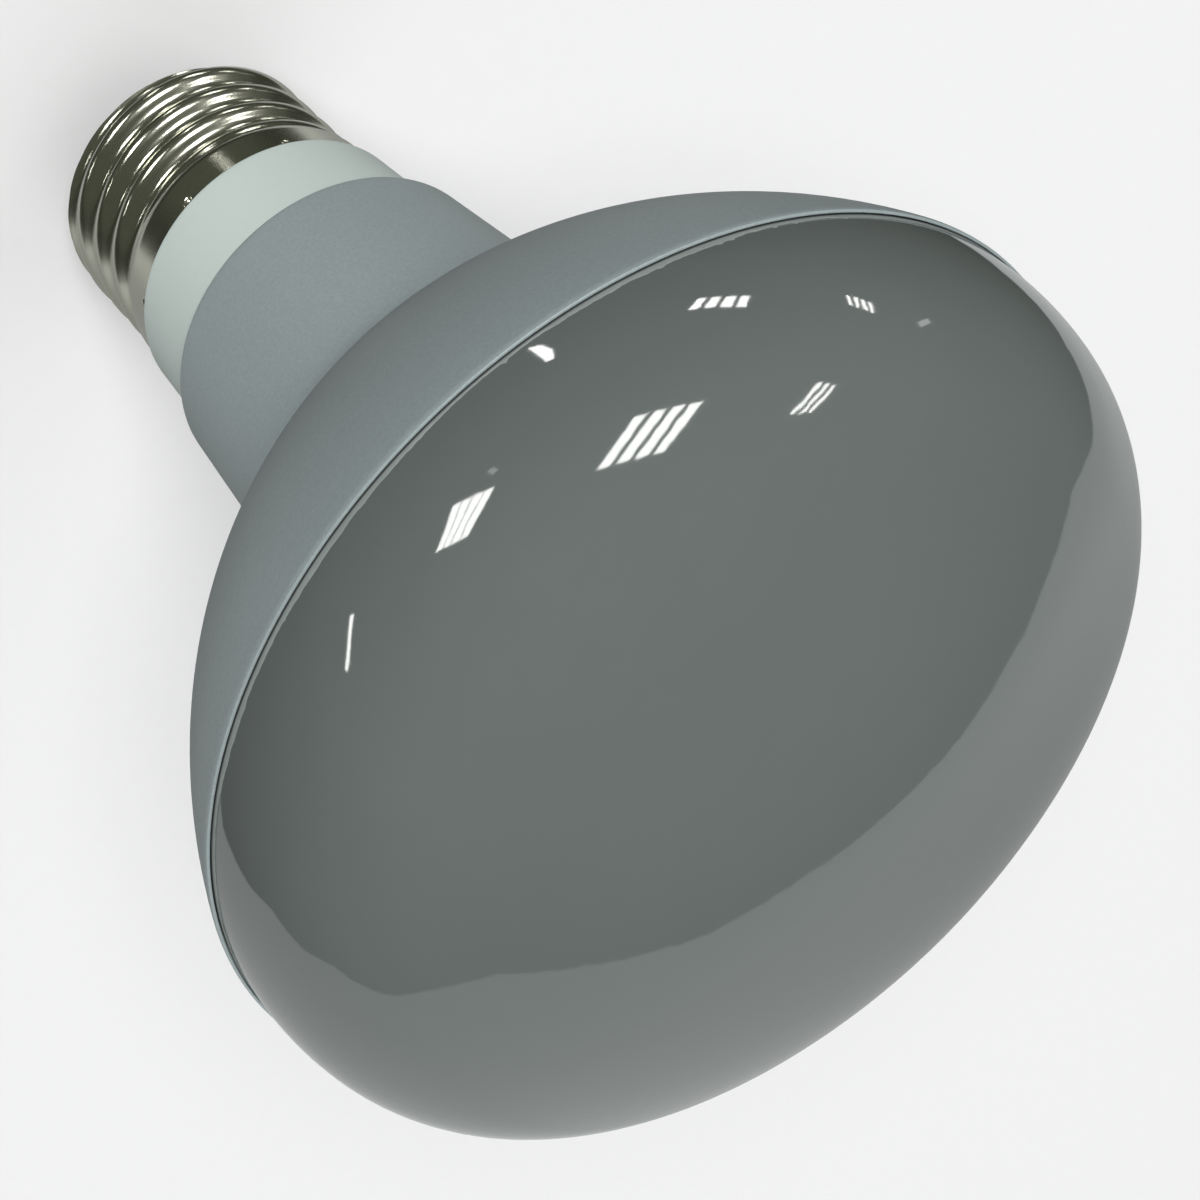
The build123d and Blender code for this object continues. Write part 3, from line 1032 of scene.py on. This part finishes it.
CAMERA_PLACE = (-0.0136263, -0.1599281, 0.1972075)
CAMERA_TURN = (-43.189973 * DEG, -34.037404 * DEG, 144.31155 * DEG)
CAMERA_SENSOR = 36.0
CAMERA_NEAR = 0.01

FLOOR_REACH = 6.0
SQUARE = [(-1, -1), (1, -1), (1, 1), (-1, 1)]
BOX_SIDES = [(0, 1, 3, 2), (4, 6, 7, 5), (0, 4, 5, 1), (2, 3, 7, 6), (0, 2, 6, 4), (1, 5, 7, 3)]


def glow(name, tint, strength, lights=False):
    """Light-giving material of the mirrored room, which lights nothing else unless asked."""
    made = bpy.data.materials.new(name)
    made.use_nodes = True
    if not lights:
        made.cycles.emission_sampling = "NONE"
    tree = made.node_tree
    tree.nodes.remove(tree.nodes["Principled BSDF"])
    light = put(tree, "ShaderNodeEmission", {"Color": (*tint, 1), "Strength": strength})
    feed(tree.nodes["Material Output"], {"Surface": light})
    return made


def table_glow(stage):
    """Pale table that is darker in the lamp's shade."""
    made = glow("pale table", TABLE_TINT, stage.table_light)
    tree = made.node_tree
    place = put(tree, "ShaderNodeTexCoord").out("Object")
    levels = []
    for spot, (start, end) in zip(SHADE_PLACES, SHADE_REACHES):
        ends = {0: place, 1: (*spot, TABLE_HEIGHT)}
        away = put(tree, "ShaderNodeVectorMath", ends, operation="DISTANCE").out("Value")
        levels.append(ramp(away, start, end, stage.table_shade, stage.table_light))
    feed(tree.nodes["Emission"], {"Strength": maths(tree, "MINIMUM", *levels)})
    return made


def studio_world(stage):
    """Soft light from above, and a pale backdrop that the camera and the gloss see."""
    world = bpy.data.worlds.new("soft studio")
    world.use_nodes = True
    tree = world.node_tree
    way = split(put(tree, "ShaderNodeTexCoord").out("Generated"))[2]
    dimmed = {0: tuple(stage.sky), "Scale": ramp(way, *SKY_RISE, kind="LINEAR")}
    soft = put(tree, "ShaderNodeVectorMath", dimmed, operation="SCALE")
    path = put(tree, "ShaderNodeLightPath")
    seen = path.out("Is Camera Ray").maths("MAXIMUM", path.out("Is Glossy Ray"))
    seen = seen.maths("MAXIMUM", path.out("Is Transmission Ray"))
    choice = {0: seen, 4: soft, 5: tuple(stage.backdrop)}
    tint = put(tree, "ShaderNodeMix", choice, data_type="VECTOR").out(1)
    feed(tree.nodes["Background"], {"Color": tint})
    return world


def staged(name, spots, faces, material, mirrored=False):
    """Stage object, seen only in the gloss if it belongs to the mirrored room."""
    mesh = bpy.data.meshes.new(name)
    mesh.from_pydata(spots, [], faces)
    mesh.materials.append(material)
    made = bpy.data.objects.new(name, mesh)
    bpy.context.scene.collection.objects.link(made)
    if mirrored:
        made.matrix_world = ROOM_TURN
        for ray in ("camera", "diffuse", "transmission", "volume_scatter", "shadow"):
            setattr(made, f"visible_{ray}", False)
    return made


def flat(outlines, height):
    """Corners and faces of flat outlines at a height."""
    spots, faces = [], []
    for outline in outlines:
        faces.append(tuple(range(len(spots), len(spots) + len(outline))))
        spots.extend((x, y, height) for x, y in outline)
    return spots, faces


def square(reach):
    """Outline of a square about the middle."""
    return [(x * reach, y * reach) for x, y in SQUARE]


def tube_outlines():
    """Outlines of the ceiling's tubes, which all point one way."""
    run = Vector((1, 1)).normalized()
    side = Vector((1, -1)).normalized()
    outlines = []
    for middle, count, pitch, long, wide in CEILING_LIGHTS:
        for place in range(count):
            centre = Vector(middle) + side * pitch * (place - (count - 1) / 2)
            corners = [(run * x * long / 2, side * y * wide / 2) for x, y in SQUARE]
            outlines.append([centre + along + across for along, across in corners])
    return outlines


def mirrored_room(stage):
    """Dark room with lit tubes and a pale table, which only the gloss of the lamp shows."""
    ends = (-ROOM_REACH, ROOM_REACH)
    box = [(x, y, z) for x in ends for y in ends for z in ends]
    dark = glow("dark room", stage.room, 1.0)
    staged("mirrored_room", box, BOX_SIDES, dark, mirrored=True)
    grey = glow("grey ceiling", stage.ceiling, 1.0)
    roof = flat([square(ROOM_REACH)], CEILING_HEIGHT + CEILING_GAP)
    staged("mirrored_ceiling", *roof, grey, mirrored=True)
    lit = glow("lit tubes", TUBE_TINT, stage.tube_light, lights=True)
    tubes = flat([*tube_outlines(), CEILING_PATCH], CEILING_HEIGHT)
    staged("mirrored_tubes", *tubes, lit, mirrored=True)
    faint = glow("faint spots", SPOT_TINT, stage.tube_light / FAINTNESS)
    staged("mirrored_spots", *flat(FAINT_PATCHES, CEILING_HEIGHT), faint, mirrored=True)
    table = flat([TABLE_EDGE], TABLE_HEIGHT)
    staged("mirrored_table", *table, table_glow(stage), mirrored=True)


def soft_light(name, way, strength, spread):
    """Even light from one side, which stays out of the gloss."""
    lamp = bpy.data.lights.new(name, "SUN")
    lamp.energy = strength
    lamp.angle = spread * DEG
    made = bpy.data.objects.new(name, lamp)
    made.rotation_euler = way.to_track_quat("Z", "Y").to_euler()
    made.visible_glossy = False
    made.visible_camera = False
    bpy.context.scene.collection.objects.link(made)


class LAMP_OT_stage(bpy.types.Operator):
    """Makes the floor, the light, the room that the gloss mirrors, and the camera"""

    bl_idname = "lamp.stage"
    bl_label = "Stage"

    def execute(self, context):
        scene, stage = context.scene, context.scene.lamp_stage
        pale = finish(
            "pale floor", stage.floor, clouds=(2, 0.02), grain=(400, 0.02),
            gloss=(0.9, 0.05, 20), relief=(0.05 * MM, 0.05),
        )
        ground = staged("pale_floor", *flat([square(FLOOR_REACH)], 0), pale)
        ground.visible_glossy = False
        ground.visible_diffuse = False
        mirrored_room(stage)

        soft_light("key_light", KEY_WAY, stage.key_light, KEY_SPREAD)
        soft_light("fill_light", FILL_WAY, stage.fill_light, FILL_SPREAD)
        soft_light("side_light", SIDE_WAY, stage.side_light, FILL_SPREAD)
        scene.world = studio_world(stage)
        scene.view_settings.view_transform = "Standard"

        lens = bpy.data.cameras.new("camera")
        lens.lens = stage.lens
        lens.sensor_width = CAMERA_SENSOR
        lens.clip_start = CAMERA_NEAR
        camera = bpy.data.objects.new("camera", lens)
        camera.location = CAMERA_PLACE
        camera.rotation_euler = Euler(CAMERA_TURN, "XYZ")
        scene.collection.objects.link(camera)
        scene.camera = camera
        return {"FINISHED"}


OPERATORS = [
    LAMP_OT_centre_contact,
    LAMP_OT_cap_insulator,
    LAMP_OT_cap_shell,
    LAMP_OT_collar,
    LAMP_OT_reflector_housing,
    LAMP_OT_dome_seal,
    LAMP_OT_front_dome,
    LAMP_OT_stage,
]


class LAMP_PT_sidebar(bpy.types.Panel):
    """Lists the lamp's pieces, sizes and finishes"""

    bl_idname = "LAMP_PT_sidebar"
    bl_label = "Reflector lamp"
    bl_space_type = "VIEW_3D"
    bl_region_type = "UI"
    bl_category = "Lamp"

    def draw(self, context):
        scene = context.scene
        for operator in OPERATORS:
            self.layout.operator(operator.bl_idname)
        for group in (scene.lamp_sizes, scene.lamp_finishes, scene.lamp_stage):
            box = self.layout.box()
            for title in group.__annotations__:
                box.prop(group, title)


CLASSES = [LampSizes, LampFinishes, StageSettings, *OPERATORS, LAMP_PT_sidebar]


def register():
    for item in CLASSES:
        bpy.utils.register_class(item)
    bpy.types.Scene.lamp_sizes = PointerProperty(type=LampSizes)
    bpy.types.Scene.lamp_finishes = PointerProperty(type=LampFinishes)
    bpy.types.Scene.lamp_stage = PointerProperty(type=StageSettings)


def unregister():
    del bpy.types.Scene.lamp_stage
    del bpy.types.Scene.lamp_finishes
    del bpy.types.Scene.lamp_sizes
    for item in reversed(CLASSES):
        bpy.utils.unregister_class(item)


def main():
    """Makes every piece and the stage."""
    register()
    bpy.ops.lamp.centre_contact()
    bpy.ops.lamp.cap_insulator()
    bpy.ops.lamp.cap_shell()
    bpy.ops.lamp.collar()
    bpy.ops.lamp.reflector_housing()
    bpy.ops.lamp.dome_seal()
    bpy.ops.lamp.front_dome()
    bpy.ops.lamp.stage()


if __name__ == "__main__":
    main()
